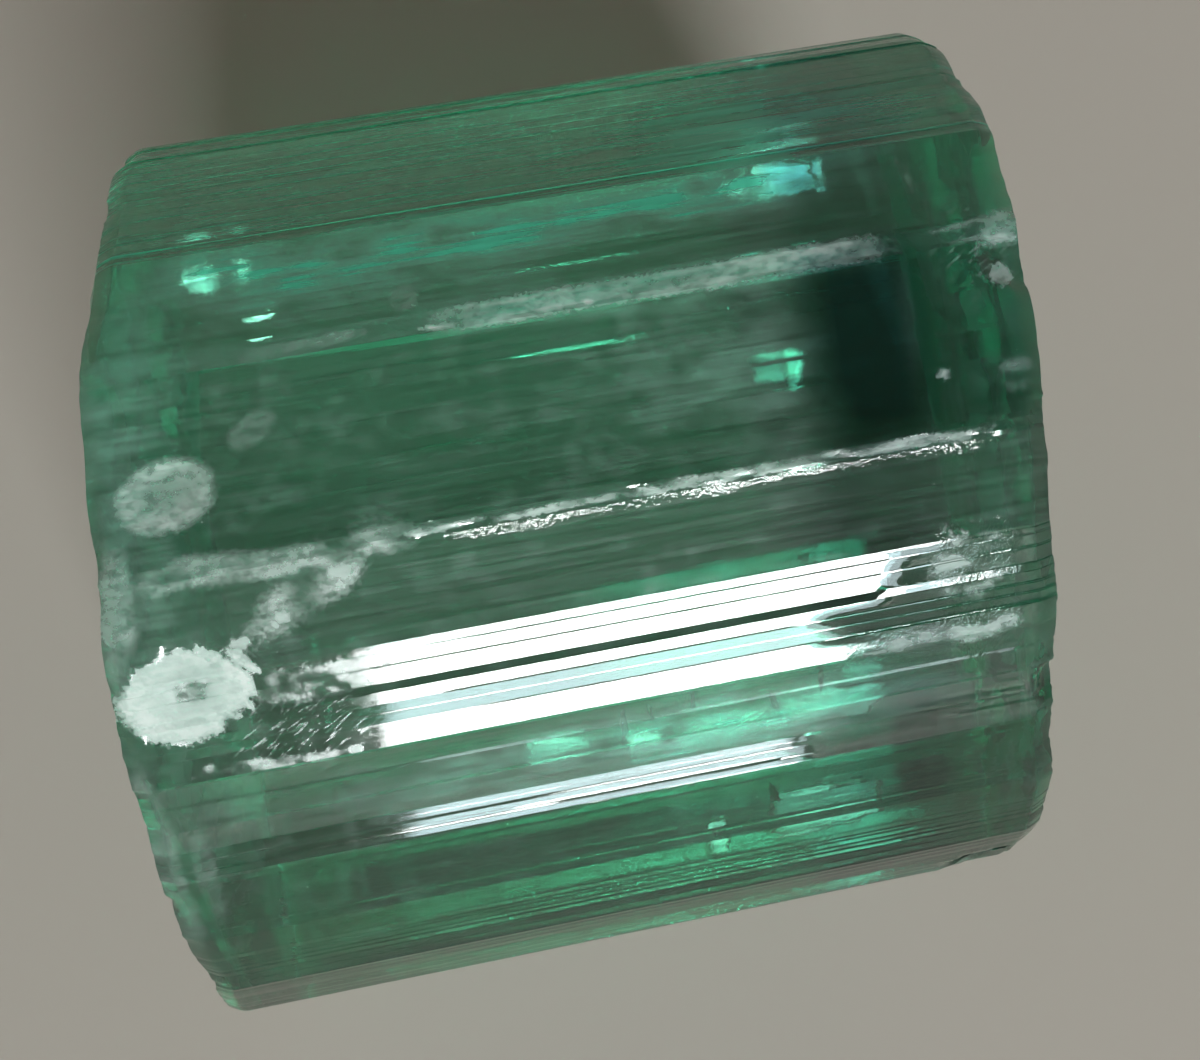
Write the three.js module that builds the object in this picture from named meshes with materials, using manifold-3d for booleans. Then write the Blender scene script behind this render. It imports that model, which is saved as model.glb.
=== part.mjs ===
// A stubby green tourmaline crystal that lies on one of its prism faces, broken flat across at both ends.
// Millimetres. +X runs along the prism, +Z is up and the face that it rests on lies at z = 0.
// An angle around the prism is in degrees: 0 looks along +Y, 90 straight up, 180 along -Y, 270 straight down.
import * as THREE from "three";
import { mergeVertices } from "three/addons/utils/BufferGeometryUtils.js";
import Module from "manifold-3d";

const wasm = await Module();
wasm.setup();

// Driving dimensions
const ACROSS = 15; // mean width of the nearly round prism
const LENGTH = 14.04; // between the broken ends, along the middle of the prism
const TAPER = 0.03; // share of its mean width that the prism loses from its left end to its right
const TRIANGLE = 0.03; // how far the section leaves a circle for the rounded triangle of this mineral
const LEAN_TOWARDS = 28; // the side on which the crystal reaches further right at both ends
const LEFT_LEAN = 4; // degrees by which the left end is off square
const RIGHT_LEAN = 3; // degrees by which the right end is off square
const WORN_EDGE = 0.32; // length of the worn bevel around each end
const WORN_DEPTH = 0.14; // how far that bevel falls in
const SWAY = 0.133; // how far the edge of a broken end stands out and back around the prism
const LEDGE = 0.07; // depth of a common growth ledge
const RIDGE = 0.13; // height of the two rough ridges
const ROWS = 9; // steps along the prism, which let ledges and ridges come and go

// Angles at which the section starts and is closed again
const REST_FROM = 245;
const FULL_TURN = 360;

// The prism faces in order around the section, from the one that it rests on. A face runs flat from where the last
// one stops to its own angle `to`. `lift` raises its first and last corner, `ledges` counts the growth ledges in it
// and `deep` scales their depth.
const FACES = [
  { name: "rest", to: 295, ledges: 0 },
  { name: "back lower", to: 320, ledges: 4 },
  { name: "back", to: 342, ledges: 3, deep: 0.8 },
  { name: "back middle", to: 362, ledges: 4, deep: 1.2 },
  { name: "back high", to: 383, ledges: 2, deep: 0.7 },
  { name: "back upper", to: 402.8, ledges: 3 },
  { name: "pale upper far", to: 419, ledges: 4, deep: 0.8 },
  { name: "pale upper", to: 442, ledges: 4, deep: 0.6 },
  { name: "dark upper", to: 454.5, ledges: 1, deep: 0.5 },
  { name: "frosted ridge", to: 457.1, ridge: 0.75 },
  { name: "broad dark", to: 477.2, ledges: 3, deep: 0.4 },
  { name: "rough ridge", to: 478.8, ridge: 1 },
  { name: "grey striated", to: 489.6, ledges: 3, deep: 0.6 },
  { name: "bright stepped", to: 501.9, ledges: 5, deep: 1.1 },
  { name: "cracked", to: 512.8, ledges: 1, deep: 0.5, lift: [-0.05, -0.05] },
  { name: "bluish", to: 516.7, ledges: 2, deep: 0.6, lift: [-0.13, 0.03] },
  { name: "lower striated", to: 527.7, ledges: 3, deep: 0.8 },
  { name: "lower middle", to: 541.5, ledges: 3, deep: 0.6 },
  { name: "lower", to: 555, ledges: 3, deep: 0.8 },
  { name: "front low", to: 579, ledges: 4 },
  { name: "front lower", to: REST_FROM + FULL_TURN, ledges: 3, deep: 0.8 },
];

const radians = THREE.MathUtils.degToRad;

// The point of the rounded triangle at an angle around the prism, before any height is set.
function sectionPoint(angle, lift = 0) {
  const radius =
    (ACROSS / 2) * (1 + TRIANGLE * Math.cos(radians(3 * (angle - 90)))) + lift;
  return new THREE.Vector2(
    radius * Math.cos(radians(angle)),
    radius * Math.sin(radians(angle)),
  );
}

// Height of the prism's middle line over the face that it rests on.
const AXIS_HEIGHT = -sectionPoint(REST_FROM).y;

// Shares of one ledge's width: a flat tread, a short riser, and a slope back up to the next tread.
const LEDGE_SHAPE = [
  { at: 0, cut: 0 },
  { at: 0.62, cut: 0 },
  { at: 0.72, cut: 1 },
];

// One section as a list of stations: a flat point, the way out of its face, and how deep or high it is worked.
function sectionStations() {
  const stations = [];
  let from = REST_FROM;
  for (const face of FACES) {
    const [firstLift, lastLift] = face.lift ?? [0, 0];
    const start = sectionPoint(from, firstLift);
    const end = sectionPoint(face.to, lastLift);
    const along = end.clone().sub(start);
    const out = new THREE.Vector2(along.y, -along.x).normalize();
    const place = (share, height) =>
      stations.push({
        point: start.clone().addScaledVector(along, share),
        out,
        height,
        line: stations.length,
      });
    if (face.ridge) {
      place(0, 0);
      place(0.3, face.ridge * RIDGE);
      place(0.65, face.ridge * RIDGE * 0.8);
    } else if (!face.ledges) {
      place(0, 0);
    }
    for (let ledge = 0; ledge < (face.ledges ?? 0); ledge += 1) {
      for (const { at, cut } of LEDGE_SHAPE)
        place((ledge + at) / face.ledges, -cut * LEDGE * (face.deep ?? 1));
    }
    from = face.to;
  }
  return stations;
}

// Ledges and ridges deepen, fade and come back along the prism: 0.3 to 1 of their full depth.
function comeAndGo(line, share) {
  const slow = Math.sin(2.1 * line + 5.3 * share);
  const quick = Math.sin(5.7 * line + 17 * share + 1.3);
  return 0.65 + 0.22 * slow + 0.13 * quick;
}

// How far a point of the section lies towards the side on which the crystal reaches further right.
function leanReach(y, z) {
  const towards = radians(LEAN_TOWARDS);
  return y * Math.cos(towards) + (z - AXIS_HEIGHT) * Math.sin(towards);
}

// How far the share of the way along makes the section wider or narrower than the mean.
function sectionScale(share) {
  return 1 + TAPER * (0.5 - share);
}

// A slow sway and a small ragged wander of an end's edge around the prism.
function raggedEdge(angle, phase, sway) {
  return (
    SWAY * Math.sin(4 * angle + sway) +
    0.05 * Math.sin(5 * angle + phase) +
    0.04 * Math.sin(11 * angle + 2 * phase) +
    0.02 * Math.sin(23 * angle + 3 * phase)
  );
}

// The broken face of an end: low flat steps that fall away from a few straight break lines.
const BREAK_LINES = [
  { heading: 65, beyond: 2.6, fall: 0.04 },
  { heading: 190, beyond: 3.4, fall: 0.056 },
  { heading: 305, beyond: 1.8, fall: 0.028 },
];

function breakFall(y, z, turn) {
  let fall = 0;
  for (const { heading, beyond, fall: slope } of BREAK_LINES) {
    const way = radians(heading + turn);
    const reach = y * Math.cos(way) + (z - AXIS_HEIGHT) * Math.sin(way);
    fall += slope * Math.max(0, reach - beyond);
  }
  return fall;
}

// The two ends. `side` is -1 on the left and 1 on the right.
const LEFT_END = { side: -1, lean: LEFT_LEAN, phase: 0.7, sway: -0.17, turn: 20 };
const RIGHT_END = { side: 1, lean: RIGHT_LEAN, phase: 2.9, sway: 1.46, turn: 150 };

function endPlace(end, y, z) {
  const angle = Math.atan2(z - AXIS_HEIGHT, y);
  const distance = Math.hypot(y, z - AXIS_HEIGHT) / (ACROSS / 2);
  const flat = (end.side * LENGTH) / 2 + leanReach(y, z) * Math.tan(radians(end.lean));
  const ragged = raggedEdge(angle, end.phase, end.sway) * distance ** 4;
  return flat + end.side * (ragged - breakFall(y, z, end.turn));
}

// The section worked at one share of the way along the prism, drawn in by `inset` for the worn edges. The prism
// narrows towards the middle of the face that it rests on, so that face stays level.
function workedSection(stations, share, inset) {
  const scale = sectionScale(share);
  return stations.map(({ point, out, height, line }) => {
    const worked = point
      .clone()
      .setLength(point.length() - inset)
      .addScaledVector(out, height * comeAndGo(line, share));
    return { y: worked.x * scale, z: (worked.y + AXIS_HEIGHT) * scale };
  });
}

// A ring of points inside an end, closer together than the last one and with fewer points.
function innerRing(outer, shrink, count) {
  const ring = [];
  for (let i = 0; i < count; i += 1) {
    const { y, z } = outer[Math.floor((i * outer.length) / count)];
    ring.push({ y: y * shrink, z: AXIS_HEIGHT + (z - AXIS_HEIGHT) * shrink });
  }
  return ring;
}

// Triangles between an outer ring and an inner one with fewer points, both going the same way round.
function stitchRings(outer, inner, triangles) {
  let o = 0;
  let i = 0;
  while (o < outer.length || i < inner.length) {
    const outerNext = (o + 1) / outer.length;
    const innerNext = (i + 1) / inner.length;
    const a = outer[o % outer.length];
    const b = inner[i % inner.length];
    if (i >= inner.length || (o < outer.length && outerNext <= innerNext)) {
      triangles.push([a, outer[(o + 1) % outer.length], b]);
      o += 1;
    } else {
      triangles.push([a, inner[(i + 1) % inner.length], b]);
      i += 1;
    }
  }
}

// The whole prism as one closed mesh: worked sections from end to end and a broken face on each end.
function prismGeometry() {
  const stations = sectionStations();
  const positions = [];
  const triangles = [];
  const addPoint = (x, y, z) => positions.push(x, y, z) / 3 - 1;

  const wornShare = WORN_EDGE / LENGTH;
  const shares = [0, wornShare];
  for (let row = 1; row < ROWS; row += 1) shares.push(row / ROWS);
  shares.push(1 - wornShare, 1);

  const rings = shares.map((share) => {
    const atEnd = share === 0 || share === 1;
    return workedSection(stations, share, atEnd ? WORN_DEPTH : 0).map(({ y, z }) => {
      const left = endPlace(LEFT_END, y, z);
      const right = endPlace(RIGHT_END, y, z);
      return addPoint(left + (right - left) * share, y, z);
    });
  });
  const lastRing = rings.length - 1;
  for (let row = 0; row < lastRing; row += 1) {
    for (let i = 0; i < stations.length; i += 1) {
      const next = (i + 1) % stations.length;
      const [a, b] = [rings[row][i], rings[row][next]];
      const [c, d] = [rings[row + 1][next], rings[row + 1][i]];
      triangles.push([a, b, c], [a, c, d]);
    }
  }

  for (const [end, ring, share] of [
    [LEFT_END, rings[0], 0],
    [RIGHT_END, rings[lastRing], 1],
  ]) {
    const cap = [];
    let outer = ring;
    let outline = workedSection(stations, share, WORN_DEPTH);
    for (const { shrink, count } of [
      { shrink: 0.86, count: 64 },
      { shrink: 0.78, count: 32 },
      { shrink: 0.66, count: 16 },
      { shrink: 0.45, count: 8 },
    ]) {
      outline = innerRing(outline, shrink, count);
      const inner = outline.map(({ y, z }) => addPoint(endPlace(end, y, z), y, z));
      stitchRings(outer, inner, cap);
      outer = inner;
    }
    const middle = addPoint(endPlace(end, 0, AXIS_HEIGHT), 0, AXIS_HEIGHT);
    for (let i = 0; i < outer.length; i += 1)
      cap.push([outer[i], outer[(i + 1) % outer.length], middle]);
    for (const [a, b, c] of cap) triangles.push(end.side > 0 ? [a, b, c] : [a, c, b]);
  }

  const geometry = new THREE.BufferGeometry();
  geometry.setAttribute("position", new THREE.Float32BufferAttribute(positions, 3));
  geometry.setIndex(triangles.flat());
  return geometry;
}

// A closed three.js geometry as a solid that can be cut.
function toSolid(geometry) {
  const bare = new THREE.BufferGeometry();
  const flat = geometry.index ? geometry.toNonIndexed() : geometry;
  bare.setAttribute("position", flat.getAttribute("position"));
  const merged = mergeVertices(bare, 1e-4);
  return new wasm.Manifold(
    new wasm.Mesh({
      numProp: 3,
      vertProperties: new Float32Array(merged.getAttribute("position").array),
      triVerts: new Uint32Array(merged.index.array),
    }),
  );
}

function toGeometry(solid) {
  const mesh = solid.getMesh();
  const geometry = new THREE.BufferGeometry();
  geometry.setAttribute(
    "position",
    new THREE.Float32BufferAttribute(mesh.vertProperties, 3),
  );
  geometry.setIndex(new THREE.Uint32BufferAttribute(mesh.triVerts, 1));
  geometry.computeVertexNormals();
  return geometry;
}

// Damage that is cut away: each is a low faceted hollow, `long` by `wide` on the surface and `deep` into it, at a
// place `x` along the prism and an `angle` around it. `turn` swings it on the surface.
const HOLLOWS = [
  { name: "crushed bruise", x: -5.96, angle: 131.7, long: 1.9, wide: 1.45, deep: 0.15, turn: 10 },
  { name: "soft bruise", x: -5.93, angle: 109.7, long: 1.35, wide: 1, deep: 0.1, turn: 8 },
  { name: "right rim chip", x: 6.85, angle: 99.5, long: 0.9, wide: 1.3, deep: 0.22, turn: 25 },
  { name: "right notch", x: 6.95, angle: 151.8, long: 0.5, wide: 0.7, deep: 0.3, turn: 0 },
  { name: "right lower chip", x: 6.5, angle: 193, long: 1.8, wide: 1.1, deep: 0.3, turn: 5 },
  { name: "left step", x: -7.25, angle: 160, long: 0.5, wide: 0.9, deep: 0.25, turn: 15 },
  { name: "left lower chip", x: -7.5, angle: 218, long: 1.2, wide: 2.2, deep: 0.5, turn: 20 },
  { name: "back right chip", x: 7.3, angle: 24, long: 1.6, wide: 2.4, deep: 0.5, turn: -15 },
  { name: "back left chip", x: -6.6, angle: -12, long: 1.1, wide: 1.7, deep: 0.4, turn: 30 },
];

// A hollow's cutter: a faceted ball, flattened so that only its lower cap goes into the crystal.
function hollowCutter({ x, angle, long, wide, deep, turn }) {
  const scale = sectionScale(x / LENGTH + 0.5);
  const surface = sectionPoint(angle).length() * scale;
  const rise = 2 * deep; // the ball's middle stands this far over the surface
  const reach = rise + deep;
  const flare = 1 / Math.sqrt(1 - (rise / reach) ** 2);
  const ball = new THREE.IcosahedronGeometry(1, 2);
  ball.scale((long / 2) * flare, (wide / 2) * flare, reach);
  ball.rotateZ(radians(turn));
  ball.translate(0, 0, surface + rise);
  ball.rotateX(radians(angle - 90));
  ball.translate(x, 0, AXIS_HEIGHT * scale);
  return ball;
}

// The crystal: the prism with its damage cut away.
function crystalGeometry() {
  let solid = toSolid(prismGeometry());
  for (const hollow of HOLLOWS) solid = solid.subtract(toSolid(hollowCutter(hollow)));
  return toGeometry(solid);
}

// Clear green, glossy on its faces.
function crystalMaterial() {
  return new THREE.MeshStandardMaterial({
    color: 0x3d7a61,
    roughness: 0.22,
    metalness: 0,
    flatShading: true,
  });
}

// The mesh stands with the middle of its outline over the origin, on z = 0.
function crystalMesh() {
  const geometry = crystalGeometry();
  geometry.computeBoundingBox();
  const middle = geometry.boundingBox.getCenter(new THREE.Vector3());
  const crystal = new THREE.Mesh(geometry, crystalMaterial());
  crystal.name = "tourmaline_crystal";
  crystal.position.set(-middle.x, -middle.y, -geometry.boundingBox.min.z);
  return crystal;
}

const group = new THREE.Group();
group.add(crystalMesh());

export default group;
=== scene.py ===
import math

import bpy
import numpy as np
from mathutils import Matrix, Vector, geometry


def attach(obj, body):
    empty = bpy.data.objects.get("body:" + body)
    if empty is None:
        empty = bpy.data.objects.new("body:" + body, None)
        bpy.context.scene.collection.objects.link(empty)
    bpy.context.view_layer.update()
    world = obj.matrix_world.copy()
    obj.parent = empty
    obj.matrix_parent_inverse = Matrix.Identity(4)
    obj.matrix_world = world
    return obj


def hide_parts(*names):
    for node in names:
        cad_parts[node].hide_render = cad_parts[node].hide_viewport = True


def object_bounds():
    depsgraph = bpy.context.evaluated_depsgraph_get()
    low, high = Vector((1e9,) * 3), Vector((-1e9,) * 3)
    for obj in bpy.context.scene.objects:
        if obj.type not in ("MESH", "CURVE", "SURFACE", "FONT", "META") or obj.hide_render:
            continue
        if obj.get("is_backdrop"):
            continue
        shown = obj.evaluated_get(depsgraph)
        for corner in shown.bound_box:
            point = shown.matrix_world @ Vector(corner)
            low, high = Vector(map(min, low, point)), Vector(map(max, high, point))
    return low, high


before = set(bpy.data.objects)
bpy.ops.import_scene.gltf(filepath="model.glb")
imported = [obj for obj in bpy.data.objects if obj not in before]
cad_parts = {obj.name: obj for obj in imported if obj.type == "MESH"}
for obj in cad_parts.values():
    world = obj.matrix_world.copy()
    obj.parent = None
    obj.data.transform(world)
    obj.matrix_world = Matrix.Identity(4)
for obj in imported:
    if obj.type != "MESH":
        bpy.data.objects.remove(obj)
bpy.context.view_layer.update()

# The crystal's prism: a short length of green tourmaline that lies on one of its faces. It grew in one
# piece, and its faces are long narrow treads that run along it, each tipped a little from the next.
# Sizes are in millimetres, and angles around it in degrees: 0 is along +Y, 90 straight up, 180 along -Y.
MM = 0.001
ACROSS = 15.0
LENGTH = 14.04
TAPER = 0.03
TRIANGLE = 0.03
WORN_EDGE = 0.32
REST_FROM = 245.0
FULL_TURN = 360.0

# Each face: its last angle, how wide its treads are, from and to, and how far they tip, in degrees. Then how
# hazy its skin is, how far its two corners are lifted, how much painted shade darkens what shines through it
# (more on the faces towards the bottom), how wide the risers between its treads are, and the height of its
# roughness and of its waves.
WIDE, NARROW = (0.25, 0.7), (0.1, 0.34)
FACES = [
    dict(name="rest", to=295, treads=None, haze=0.05),
    dict(name="back lower", to=320, treads=WIDE, tip=4, haze=0.08),
    dict(name="back", to=342, treads=WIDE, tip=3, haze=0.45),
    dict(name="back middle", to=362, treads=WIDE, tip=5, haze=0.7),
    dict(name="back high", to=383, treads=WIDE, tip=2, haze=0.04),
    dict(name="back upper", to=402.8, treads=WIDE, tip=4, haze=0.1),
    dict(name="pale upper far", to=419, treads=NARROW, tip=6, haze=0.32),
    dict(name="pale upper", to=442, treads=NARROW, tip=4, haze=0.3),
    dict(name="dark upper", to=454.5, treads=WIDE, tip=0.8, haze=0.06, riser=0.06),
    dict(name="frosted ridge", to=457.1, treads=None, haze=0.09, rough=0.012),
    dict(name="broad dark", to=477.2, treads=WIDE, tip=0.4, haze=0.035, riser=0.06),
    dict(name="rough ridge", to=478.8, treads=None, haze=0.05, rough=0.03),
    dict(name="grey striated", to=489.6, treads=NARROW, tip=0.3, haze=0.045, wave=0.0012, riser=0.06),
    dict(name="bright stepped", to=502.8, treads="stepped", haze=0.03, wave=0.0009),
    # From here down the faces carry painted shade, which darkens what shines through them, most on the
    # lowest faces
    dict(
        name="cracked", to=512.8, treads=WIDE, tip=1.2, haze=0.04, lift=(-0.05, -0.05), painted_shade_factor=0.75,
        riser=0.05,
    ),
    dict(name="bluish", to=516.7, treads="streaked", haze=0.03, lift=(-0.12, 0.02), painted_shade_factor=0.7),
    dict(name="lower striated", to=527.7, treads=NARROW, tip=3, haze=0.03, painted_shade_factor=0.38, riser=0.05),
    dict(name="lower middle", to=541.5, treads=NARROW, tip=3, haze=0.04, painted_shade_factor=0.2, riser=0.05),
    dict(name="lower", to=555, treads=NARROW, tip=4, haze=0.04, painted_shade_factor=0.07, riser=0.05),
    dict(name="front low", to=579, treads=WIDE, tip=4, haze=0.05, painted_shade_factor=0.1),
    dict(name="front lower", to=REST_FROM + FULL_TURN, treads=WIDE, tip=4, haze=0.05),
]
# The stepped face's own treads: first and last share of its width, and tip
STEPPED = (
    (0.0, 0.027, 0.5), (0.03, 0.075, 4.4), (0.078, 0.09, 16), (0.093, 0.197, 4.5), (0.2, 0.214, 16),
    (0.217, 0.36, 4.6), (0.365, 0.437, 15), (0.44, 0.54, 4.5), (0.543, 0.555, 14), (0.558, 0.635, -0.7),
    (0.638, 0.648, 12), (0.651, 0.735, -0.4), (0.738, 0.748, 12), (0.751, 1.0, 5.4),
)
# The narrow bluish face's treads, in the same way
STREAKED = (
    (0.0, 0.15, -0.9), (0.17, 0.29, -0.6), (0.32, 0.36, 12), (0.38, 0.5, -0.8), (0.53, 0.6, 2.6),
    (0.63, 0.67, 12), (0.7, 0.85, -0.6), (0.88, 1.0, -7),
)
FACE_NAMES = [face["name"] for face in FACES]
RISER = 0.012
SEEN_FROM, SEEN_TO = 400.0, 556.0
SEEN_GAP, HIDDEN_GAP = 0.075, 0.14


def section_point(angle, lift=0.0):
    """A corner of the prism's rounded-triangle section, in the order across and up from its axis."""
    radius = ACROSS / 2 * (1 + TRIANGLE * math.cos(math.radians(3 * (angle - 90)))) + lift
    return np.array([radius * math.cos(math.radians(angle)), radius * math.sin(math.radians(angle))])


AXIS_HEIGHT = -section_point(REST_FROM)[1]
chance = np.random.RandomState(8)


def cut_treads(face, width):
    """The treads of one face as shares of its width, each with its tip."""
    if face["treads"] is None:
        return [(0.0, 1.0, 0.0)]
    if face["treads"] == "stepped":
        return list(STEPPED)
    if face["treads"] == "streaked":
        return list(STREAKED)
    edges = [0.0]
    while edges[-1] < width:
        edges.append(edges[-1] + chance.uniform(*face["treads"]))
    edges = np.array(edges) / edges[-1]
    tips = chance.normal(0, face["tip"], len(edges) - 1)
    gap = face.get("riser", RISER) / width / 2
    return [
        (low + (gap if low else 0), high - (gap if high < 1 else 0), tip)
        for low, high, tip in zip(edges[:-1], edges[1:], tips)
    ]


# Every line of the mesh along the prism: flat place, way out, face, tread, and height for a full tip
base, ways, face_of, tread_of, off_middle, tip_lean = [], [], [], [], [], []
start_angle = REST_FROM
for number, face in enumerate(FACES):
    lift = face.get("lift", (0.0, 0.0))
    start, end = section_point(start_angle, lift[0]), section_point(face["to"], lift[1])
    width = np.linalg.norm(end - start)
    across = (end - start) / width
    out = np.array([across[1], -across[0]])
    gap = SEEN_GAP if SEEN_FROM < (start_angle + face["to"]) / 2 < SEEN_TO else HIDDEN_GAP
    for low, high, tip in cut_treads(face, width):
        steps = max(1, round((high - low) * width / gap))
        tread = tread_of[-1] + 1 if tread_of else 0
        for step in range(steps + (high < 1)):
            share = low + (high - low) * step / steps
            base.append(start + across * width * share)
            ways.append(out)
            face_of.append(number)
            tread_of.append(tread)
            off_middle.append((share - (low + high) / 2) * width)
            tip_lean.append(math.tan(math.radians(tip)))
    start_angle = face["to"]
base, ways = np.array(base), np.array(ways)
face_of, tread_of, off_middle, tip_lean = (np.array(v) for v in (face_of, tread_of, off_middle, tip_lean))
lines = len(base)
line_angle = np.degrees(np.arctan2(base[:, 1], base[:, 0])) % FULL_TURN
line_angle = np.where(line_angle < REST_FROM - 0.01, line_angle + FULL_TURN, line_angle)
around = np.concatenate([[0], np.cumsum(np.linalg.norm(np.diff(base, axis=0), axis=1))])


class Lattice:
    """Smooth random values from -1 to 1 over space, the same on every run."""

    def __init__(self, seed, size=32):
        self.size = size
        self.values = np.random.RandomState(seed).rand(size, size, size)

    def __call__(self, a, b, c=0.0):
        a, b, c = np.broadcast_arrays(a, b, c)
        cell = [np.floor(v).astype(int) for v in (a, b, c)]
        ease = [(v - i) ** 2 * (3 - 2 * (v - i)) for v, i in zip((a, b, c), cell)]
        total = 0.0
        for corner in range(8):
            step = [corner >> k & 1 for k in range(3)]
            weight = 1.0
            for e, s in zip(ease, step):
                weight = weight * (e if s else 1 - e)
            place = tuple((i + s) % self.size for i, s in zip(cell, step))
            total = total + weight * self.values[place]
        return total * 2 - 1


cloud = Lattice(11)


def smooth(low, high, value):
    """0 at low and 1 at high, with a soft start and end."""
    t = np.clip((value - low) / (high - low), 0, 1)
    return t * t * (3 - 2 * t)


# Places along the prism at which the mesh has a ring, closer near the worn ends and the bruises
row_places = np.concatenate([
    WORN_EDGE * np.linspace(0, 1, 6)[:-1],
    np.linspace(WORN_EDGE, 2.6, 38)[:-1],
    np.linspace(2.6, 4.9, 27)[:-1],
    np.linspace(4.9, LENGTH - 1.3, 49)[:-1],
    np.linspace(LENGTH - 1.3, LENGTH - WORN_EDGE, 14)[:-1],
    LENGTH - WORN_EDGE * np.linspace(1, 0, 6),
])
shares = row_places / LENGTH
rows = len(shares)
along = (shares - 0.5) * LENGTH
X = np.broadcast_to(along[:, None], (rows, lines))
S = np.broadcast_to(around[None, :], (rows, lines))
A = np.broadcast_to((line_angle % FULL_TURN)[None, :], (rows, lines))


def at(angle):
    """Distance around the prism, from its rest face, of an angle in 0 to 360."""
    return float(np.interp(angle + (FULL_TURN if angle < REST_FROM else 0), line_angle, around))


# Treads come and go along the prism, and the skin has a fine wave of its own. Towards the right the stepped
# face frays out into treads that are turned away, and the bluish face bends away.
FRAYED_TURN = -13
BLUISH_TURN, BLUISH_FROM, BLUISH_TO, BLUISH_HINGE = -9, 2.6, 3.3, 156.4
strength = 0.8 + 0.4 * cloud(X * 0.22, tread_of[None, :] * 3.7, 4.0)
bluish_face = FACE_NAMES.index("bluish")
strength = np.where(face_of[None, :] == bluish_face, strength * smooth(BLUISH_TO, BLUISH_FROM, X), strength)
height = off_middle[None, :] * tip_lean[None, :] * strength
stepped_face = FACE_NAMES.index("bright stepped")
END_ANGLES, END_PLACES = (129, 131.5, 133, 136, 139, 142.8), (5.4, 5.0, 4.5, 4.1, 4.0, 3.6)
ends_at = np.interp(line_angle - FULL_TURN, END_ANGLES, END_PLACES)[None, :]
frayed = ends_at + 0.9 * cloud(S * 11.0, 2.0, 6.0) + 0.3 * cloud(X * 1.5, S * 5.0, 1.0)
turned = smooth(frayed, frayed + 0.4, X) * math.tan(math.radians(FRAYED_TURN))
height = height + np.where(face_of[None, :] == stepped_face, off_middle[None, :] * turned, 0)
wave_of = np.array([face.get("wave", 0.003) for face in FACES])[face_of][None, :]
height = height + wave_of * cloud(X * 0.5, S * 6.0, 9.0)
turned = smooth(BLUISH_FROM, BLUISH_TO, X) * math.tan(math.radians(BLUISH_TURN))
height = height + np.where(face_of[None, :] == bluish_face, (S - at(BLUISH_HINGE)) * turned, 0)
roughness_of = np.array([face.get("rough", 0.0) for face in FACES])[face_of][None, :]
roughness_of = roughness_of * (0.3 + 0.7 * smooth(-3.2, -2.2, X))
height = height + roughness_of * (cloud(X * 5.0, S * 9.0, 2.0) + 0.7 * cloud(X * 11.0, S * 17.0, 5.0))

# The damage on the skin: two bruises, chips at the rims, crumbly ridges and fine scratches, all in the
# crystal's own stone. The hollows were knocked into it, and the pale marks are crushed white stone.


def spot_distance(x, angle, long, wide, turn):
    """Distance from the middle of an oval spot, 1 on its rim."""
    u, v = X - x, S - at(angle)
    c, s = math.cos(math.radians(turn)), math.sin(math.radians(turn))
    return np.hypot((u * c + v * s) / (long / 2), (-u * s + v * c) / (wide / 2))


# Each hollow: its place, length and width on the skin, its depth and turn, and how rough it is
HOLLOWS = (
    dict(name="crushed bruise", x=-5.96, angle=131.7, long=2.0, wide=1.5, deep=0.05, turn=-10, rough=0.004),
    dict(name="soft bruise", x=-5.93, angle=109.7, long=1.4, wide=1.05, deep=0.08, turn=-8, rough=0.006),
    dict(name="right rim chip", x=6.85, angle=99.5, long=0.9, wide=1.3, deep=0.18, turn=-25, rough=0.02),
    dict(name="right notch", x=6.95, angle=151.8, long=0.5, wide=0.7, deep=0.25, turn=0, rough=0.02),
    dict(name="right lower chip", x=6.5, angle=193, long=1.8, wide=1.1, deep=0.25, turn=-5, rough=0.03),
    dict(name="left step", x=-7.25, angle=160, long=0.5, wide=0.9, deep=0.2, turn=-15, rough=0.02),
    dict(name="left lower chip", x=-7.5, angle=218, long=1.2, wide=2.2, deep=0.45, turn=-20, rough=0.04),
    dict(name="back right chip", x=7.3, angle=24, long=1.6, wide=2.4, deep=0.45, turn=15, rough=0.04),
    dict(name="back left chip", x=-6.6, angle=348, long=1.1, wide=1.7, deep=0.35, turn=-30, rough=0.04),
)
wobble = 0.16 * cloud(X * 2.7, S * 2.7, 3.0) + 0.1 * cloud(X * 7.0, S * 7.0, 6.0)
skin_grit = cloud(X * 9.0, S * 9.0, 1.0)
for hollow in HOLLOWS:
    far = spot_distance(hollow["x"], hollow["angle"], hollow["long"], hollow["wide"], hollow["turn"])
    inside = np.clip(1 - (far + wobble) ** 2, 0, 1)
    height = height - inside * hollow["deep"] + hollow["rough"] * skin_grit * smooth(0, 0.3, inside)


def strip(angle, wide, x_from, x_to, fade, wander, soft):
    """A narrow band along the prism, 1 on its middle line."""
    off = np.abs(S - at(angle) + wander * cloud(X * 1.9, 0.5, 9.0))
    ends = smooth(x_from, x_from + fade, X) * smooth(x_to, x_to - fade, X)
    return smooth(wide / 2 * (1 + soft), wide / 2 * (1 - soft), off) * ends


# Where the stone crumbled into fine sparkling grit: angle, width, and from where to where along the prism
CRUMBLY_STRIPS = ((141.4, 0.7, 3.4, 6.7), (132.5, 0.9, 5.0, 6.7), (118.2, 0.3, -3.0, 6.6))
GRIT_HEIGHT = 0.006
crumbly = np.zeros((rows, lines))
for angle, wide, x_from, x_to in CRUMBLY_STRIPS:
    crumbly = np.maximum(crumbly, strip(angle, wide, x_from, x_to, 0.5, 0.1, 0.9))
height = height + GRIT_HEIGHT * crumbly * skin_grit


def spot(x, angle, long, wide, turn, soft):
    """An oval spot on the skin, 1 in its middle and 0 outside it."""
    return smooth(1 + soft, 1 - soft, spot_distance(x, angle, long, wide, turn))


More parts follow.
